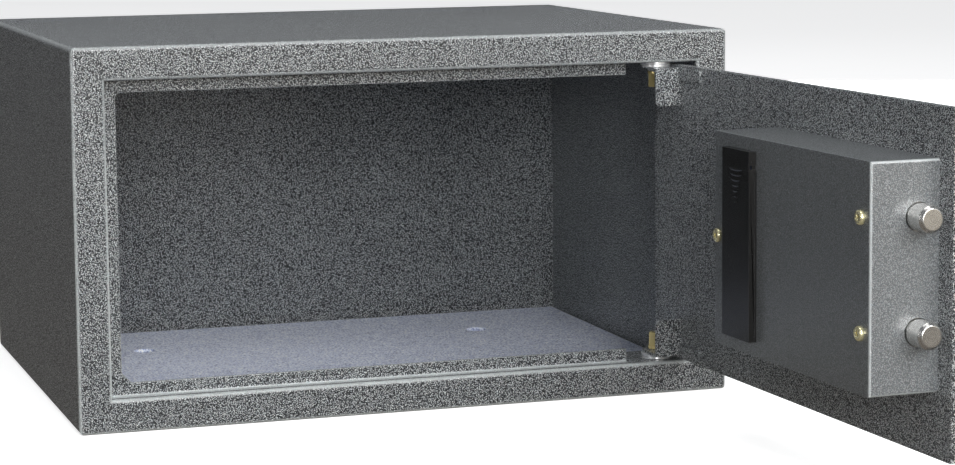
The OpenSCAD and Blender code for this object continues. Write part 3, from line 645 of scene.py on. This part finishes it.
def setLights():
    for name, lamp in lamps.items():
        data = bpy.data.lights.new(name, "AREA")
        data.shape = "RECTANGLE"
        data.size, data.size_y = lamp["size"]
        data.energy = lamp["power"]
        data.color = lamp.get("colour", (1.0, 1.0, 1.0))
        light = bpy.data.objects.new(name, data)
        aim = Vector(lamp["aim"]) - Vector(lamp["place"])
        light.location = lamp["place"]
        light.rotation_euler = aim.to_track_quat("-Z", "Y").to_euler()
        light.visible_camera = False
        bpy.context.scene.collection.objects.link(light)


def setSurround():
    world = bpy.data.worlds.new("studio")
    world.use_nodes = True
    nodes = Nodes(world.node_tree)
    direction = nodes.node("TexCoord", output="Generated")
    height = nodes.node("SeparateXYZ", {}, {"Vector": direction}, output="Z")
    background = world.node_tree.nodes["Background"]
    nodes.feed(background.inputs["Color"], nodes.ramp(height * 0.5 + 0.5, surround["stops"]))
    background.inputs["Strength"].default_value = surround["strength"]
    bpy.context.scene.world = world


paleFloor = {"size": 60, "dull": (0.84, 0.84, 0.84), "bright": (0.88, 0.88, 0.88), "glow": 0.72}


def setFloor():
    deselect()
    bpy.ops.mesh.primitive_plane_add(size=paleFloor["size"], location=(0, 0, 0))
    floor = newPiece("floor")
    settle(floor)
    paper = Finish("paleFloor")
    paper.set(**{
        "Base Color": paper.mix(paper.noise(3, 2), paleFloor["dull"], paleFloor["bright"]),
        "Roughness": 0.85,
        "Emission Color": (1.0, 1.0, 1.0),
        "Emission Strength": paleFloor["glow"],
    })
    floor.data.materials.append(paper.material)
    floor.visible_diffuse = False
    floor.visible_glossy = False


setCamera()
setLights()
setSurround()
setFloor()
print("camera, light and floor set")


# Cabinet

sheetEdge = {"fine": 0.35, "door": 0.5, "bend": 0.7, "stop": 1.7, "stopSegments": 4, "stopConvex": 0.35}
washer = {
    "edge": 0.6,
    "segments": 4,
    "bright": (0.92, 0.93, 0.93),
    "dull": (0.80, 0.82, 0.84),
    "roughness": 0.26,
    "metallic": 0.72,
}
pinSlot = {"width": 1.4, "reach": 8, "depth": 3.2, "edge": 0.2}


def makeCabinet():
    for node, name, finish in (
        ("outer_shell", "cabinetShell", enamel),
        ("front_frame", "faceFrame", mouthEnamel),
        ("back_panel", "backSheet", enamel),
    ):
        sheet = copyNode(node, name)
        soften(sheet, sheetEdge["fine"])
        dress(sheet, finish, "cabinet", [node])
    lip = copyNode("lip_frame", "stopStrip")
    soften(
        lip,
        sheetEdge["stop"],
        sheetEdge["stopSegments"],
        reach=lambda edge: sheetEdge["stopConvex"] if edge.is_convex else 1.0,
    )
    dress(lip, mouthEnamel, "cabinet", ["lip_frame"])
    for side in ("lower", "upper"):
        plate = copyNode(side + "_hinge_plate", side + "HingePlate")
        soften(plate, sheetEdge["bend"])
        dress(plate, enamel, "cabinet", [side + "_hinge_plate"])
        makeWashers(side)
        makePin(side)
    print("cabinet made")


def makeWashers(side):
    washers = copyNode(side + "_washers", side + "Washers")
    soften(washers, washer["edge"], washer["segments"])
    zinc = turned(
        side + "WasherZinc",
        washer["bright"],
        washer["dull"],
        pivot,
        (0, 0, 1),
        washer["roughness"],
        washer["metallic"],
    )
    dress(washers, zinc, "cabinet", [side + "_washers"])


def makePin(side):
    # the slot is in the end that faces the middle of the cabinet
    pin = copyNode(side + "_hinge_pin", side + "HingePin")
    low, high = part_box(side + "_hinge_pin")
    end = Vector((pivot.x, pivot.y, high.z if side == "lower" else low.z))
    half = Vector((pinSlot["width"] / 2, pinSlot["reach"], pinSlot["depth"])) * mm
    cut(pin, block("slot", end - half, end + half))
    tidyMesh(pin)
    soften(pin, pinSlot["edge"])
    dress(pin, brassFinish, "cabinet", [side + "_hinge_pin"])


matEdge = {"width": 0.8, "segments": 3}


def makeMat():
    mat = copyNode("floor_mat", "feltMat")
    soften(mat, matEdge["width"], matEdge["segments"])
    dress(mat, feltFinish, "cabinet", ["floor_mat"])
    print("mat laid")


# Door

lockCase = {
    "low": (39.5, 62.5),
    "high": (239.5, 196.5),
    "front": 54.1,
    "fold": 1.5,
    "foldSegments": 4,
    "fine": 0.3,
    "near": 0.1,
}


def caseReach(edge):
    # only the folds round the case's front are wide
    middle = (edge.verts[0].co + edge.verts[1].co) / 2
    low = at(lockCase["low"][0], 0, lockCase["low"][1])
    high = at(lockCase["high"][0], lockCase["front"], lockCase["high"][1])
    near = lockCase["near"] * mm
    onFront = abs(middle.y - high.y) < near
    onSide = min(abs(middle.x - low.x), abs(middle.x - high.x)) < near
    onEnd = min(abs(middle.z - low.z), abs(middle.z - high.z)) < near
    return 1.0 if onFront + onSide + onEnd == 2 else lockCase["fine"] / lockCase["fold"]


def makeDoor():
    sheet = copyNode("door_plate", "doorSheet", shut=True)
    soften(sheet, sheetEdge["door"])
    dress(sheet, enamel, "door", ["door_plate"], shut=True)
    for side in ("lower", "upper"):
        bracket = copyNode(side + "_hinge_bracket", side + "HingeBracket", shut=True)
        soften(bracket, sheetEdge["bend"])
        dress(bracket, enamel, "door", [side + "_hinge_bracket"], shut=True)
    case = copyNode("lock_housing", "lockCase", shut=True)
    soften(case, lockCase["fold"], lockCase["foldSegments"], reach=caseReach)
    dress(case, caseEnamel, "door", ["lock_housing"], shut=True)
    print("door made")


screw = {
    "places": [(50, 164), (50, 98), (233.5, 131)],
    "turns": [20, 65, 40],
    "seat": 54.1,
    "sides": 48,
    "headRadius": 4.45,
    "headHeight": 2.6,
    "dome": 1.5,
    "domeSegments": 5,
    "shankRadius": 1.9,
    "shankLength": 9,
    "shankInHead": 0.5,
    "slotWidth": 1.05,
    "slotLength": 5.2,
    "slotDepth": 1.5,
    "slotTaper": (0.45, 0.6, 1),
    "edge": 0.1,
}


def makeScrew():
    # a domed head with a cross slot, on the origin and facing +Z
    head = rod("housingScrews", screw["headRadius"], screw["headHeight"], screw["sides"])
    editFaces(head, lambda face: face.normal.z > 0.9)
    bpy.ops.mesh.bevel(offset=screw["dome"] * mm, segments=screw["domeSegments"], affect="EDGES")
    endEdit()
    shank = rod("shank", screw["shankRadius"], screw["shankLength"] + screw["shankInHead"], screw["sides"])
    shank.location.z = -screw["shankLength"] * mm
    settle(shank)
    cut(head, shank, "UNION")
    top = screw["headHeight"] * mm
    half = Vector((screw["slotLength"] / 2, screw["slotWidth"] / 2, 0)) * mm
    for angle in (0, 90):
        bar = block(
            "bar",
            Vector((-half.x, -half.y, top - screw["slotDepth"] * mm)),
            Vector((half.x, half.y, top + 1 * mm)),
        )
        editFaces(bar, lambda face: face.normal.z < -0.9)
        bpy.ops.transform.resize(value=screw["slotTaper"])
        endEdit()
        bar.rotation_euler.z = math.radians(angle)
        settle(bar)
        cut(head, bar)
    tidyMesh(head)
    soften(head, screw["edge"], 1)
    return head


def makeScrews():
    first = makeScrew()
    screws = [first, copyMesh("screw", first.data), copyMesh("screw", first.data)]
    for piece, (x, z), turn in zip(screws, screw["places"], screw["turns"]):
        piece.matrix_world = (
            Matrix.Translation(at(x, screw["seat"], z))
            @ Matrix.Rotation(math.radians(-90), 4, "X")
            @ Matrix.Rotation(math.radians(turn), 4, "Z")
        )
        settle(piece)
    dress(join(screws), yellowZinc, "door", ["housing_screws"], shut=True)
    print("screws driven")


bolt = {
    "end": 24,
    "y": 23.1,
    "upperZ": 164,
    "lowerZ": 98,
    "chamfer": 0.9,
    "segments": 5,
    "bright": (0.84, 0.83, 0.80),
    "dull": (0.74, 0.73, 0.71),
    "roughness": 0.25,
}


def makeBolts():
    axis = (doorTurn.to_3x3() @ Vector((1, 0, 0))).normalized()
    for side in ("upper", "lower"):
        piece = copyNode(side + "_bolt", side + "Bolt", shut=True)
        soften(piece, bolt["chamfer"], bolt["segments"])
        centre = doorTurn @ at(bolt["end"], bolt["y"], bolt[side + "Z"])
        zinc = turned(side + "BoltZinc", bolt["bright"], bolt["dull"], centre, axis, bolt["roughness"])
        dress(piece, zinc, "bolts", [side + "_bolt"], shut=True)
    print("bolts turned")


cover = {
    "low": (181, 54.3, 71.5),
    "high": (218, 59.1, 188.5),
    "wall": 1.6,
    "edge": 0.45,
    "edgeSegments": 3,
    "notchBottom": 177.5,
    "notchHeight": 2.6,
    "notchDepth": 1.0,
    "notchSkin": 0.6,
    "rimOut": 0.7,
    "rimIn": 0.5,
    "rimHeight": 1.3,
    "rimTop": 176.0,
}
ridge = {
    "count": 7,
    "top": 177.1,
    "pitch": 3.45,
    "width": 20,
    "height": 2.1,
    "leastHeight": 0.45,
    "depth": 0.6,
    "lean": 0.25,
    "segments": 40,
    "rings": 20,
}


def makeCover():
    left, back, bottom = cover["low"]
    right, front, top = cover["high"]
    lid = block("batteryCover", at(*cover["low"]), at(*cover["high"]))
    editFaces(lid, lambda face: face.normal.y < -0.9)
    bpy.ops.mesh.delete(type="FACE")
    endEdit()
    modify(lid, "SOLIDIFY", thickness=cover["wall"] * mm, offset=-1)
    notchTop = cover["notchBottom"] + cover["notchHeight"]
    notch = block(
        "notch",
        at(left - 1, back - 1, cover["notchBottom"]),
        at(left + cover["notchDepth"], front - cover["notchSkin"], notchTop),
    )
    cut(lid, notch)
    # a narrow rim runs along the foot of the near side, up to the notch
    rim = block(
        "rim",
        at(left - cover["rimOut"], back, bottom),
        at(left + cover["rimIn"], back + cover["rimHeight"], cover["rimTop"]),
    )
    cut(lid, rim, "UNION")
    tidyMesh(lid)
    soften(lid, cover["edge"], cover["edgeSegments"])
    # the exact solver leaves open edges where the half moons' rims lie in the lid's face
    moons = [makeRidge(i, (left + right) / 2, front) for i in range(ridge["count"])]
    cut(lid, join(moons), "UNION", "FAST")
    smooth(lid)
    dress(lid, coverPlastic, "battery_cover", ["battery_cover"], shut=True)
    print("battery cover made")


def makeRidge(i, x, y):
    # a half moon for the thumb; each is smaller than the one above it
    share = (ridge["count"] - i) / ridge["count"]
    place = at(x, y, ridge["top"] - i * ridge["pitch"])
    flatness = ridge["leastHeight"] + (1 - ridge["leastHeight"]) * share
    deselect()
    bpy.ops.mesh.primitive_uv_sphere_add(
        segments=ridge["segments"], ring_count=ridge["rings"], radius=1, location=place
    )
    moon = newPiece("moon")
    moon.scale = (ridge["width"] / 2 * share * mm, ridge["depth"] * mm, ridge["height"] * flatness * mm)
    settle(moon)
    editFaces(moon, lambda face: True)
    bpy.ops.mesh.bisect(plane_co=place, plane_no=(0, ridge["lean"], 1), use_fill=True, clear_outer=True)
    endEdit()
    return moon


# Keypad on the door's outside

keypad = {"bezelEdge": 0.4, "partEdge": 0.3, "lampEdge": 0.5, "lampSegments": 4}


def makeKeypad():
    bezel = copyNode("keypad_bezel", "keypadBezel", shut=True)
    soften(bezel, keypad["bezelEdge"])
    dress(bezel, blackCover, "door", ["keypad_bezel"], shut=True)
    for node, name, finish, slot, body in (
        ("override_barrel", "lockBarrel", zincPlate, "zinc", "door"),
        ("override_plug", "lockPlug", brassFinish, "brass", "override_plug"),
        ("keyhole_flap", "keyholeFlap", blackCover, "black_plastic", "keyhole_flap"),
        ("display_window", "displayWindow", windowTint, "dark_window", "door"),
    ):
        piece = copyNode(node, name, shut=True)
        soften(piece, keypad["partEdge"])
        dress(piece, finish, body, [node], shut=True)
    lens = copyNode("status_lamps", "statusLamps", shut=True)
    soften(lens, keypad["lampEdge"], keypad["lampSegments"])
    middle = sum(corner.co.x for corner in lens.data.vertices) / len(lens.data.vertices)
    isGreen = [face.center.x > middle for face in lens.data.polygons]
    dress(lens, redLens, "door", ["status_lamps"], shut=True)
    lens.data.materials.append(greenLens)
    for face, green in zip(lens.data.polygons, isGreen):
        face.material_index = int(green)
    print("keypad made")


keys = {
    "names": ("1", "2", "3", "4", "5", "6", "7", "8", "9", "clear", "0", "enter"),
    "marks": {"clear": "*", "enter": "#"},
    "edge": 0.6,
    "segments": 3,
    "front": -8.9,
    "markSize": 7.2,
    "markRise": 0.12,
}


def makeKeys():
    for key in keys["names"]:
        node = "key_" + key
        piece = copyNode(node, "key" + key.title(), shut=True)
        centre = sum((corner.co for corner in piece.data.vertices), Vector()) / len(piece.data.vertices)
        soften(piece, keys["edge"], keys["segments"])
        dress(piece, rubber, node, [node], shut=True)
        makeMark(key, centre, node)
    print("keys made")


def makeMark(key, centre, body):
    # a thin raised digit, star or hash on the front of a key
    deselect()
    bpy.ops.object.text_add()
    mark = bpy.context.object
    mark.data.body = keys["marks"].get(key, key)
    mark.data.align_x = "CENTER"
    mark.data.align_y = "CENTER"
    mark.data.size = keys["markSize"] * mm
    mark.data.extrude = keys["markRise"] * mm
    pick(mark)
    bpy.ops.object.convert(target="MESH")
    mark = newPiece("legend" + key.title())
    heights = [corner.co.y for corner in mark.data.vertices]
    mark.data.transform(Matrix.Translation((0, -(min(heights) + max(heights)) / 2, 0)))
    place = Vector((centre.x, at(0, keys["front"], 0).y, centre.z))
    mark.matrix_world = Matrix.Translation(place) @ Matrix.Rotation(math.radians(90), 4, "X")
    settle(mark)
    dress(mark, legendInk, body, shut=True)


makeCabinet()
makeMat()
makeDoor()
makeScrews()
makeBolts()
makeCover()
makeKeypad()
makeKeys()

bpy.context.view_layer.update()
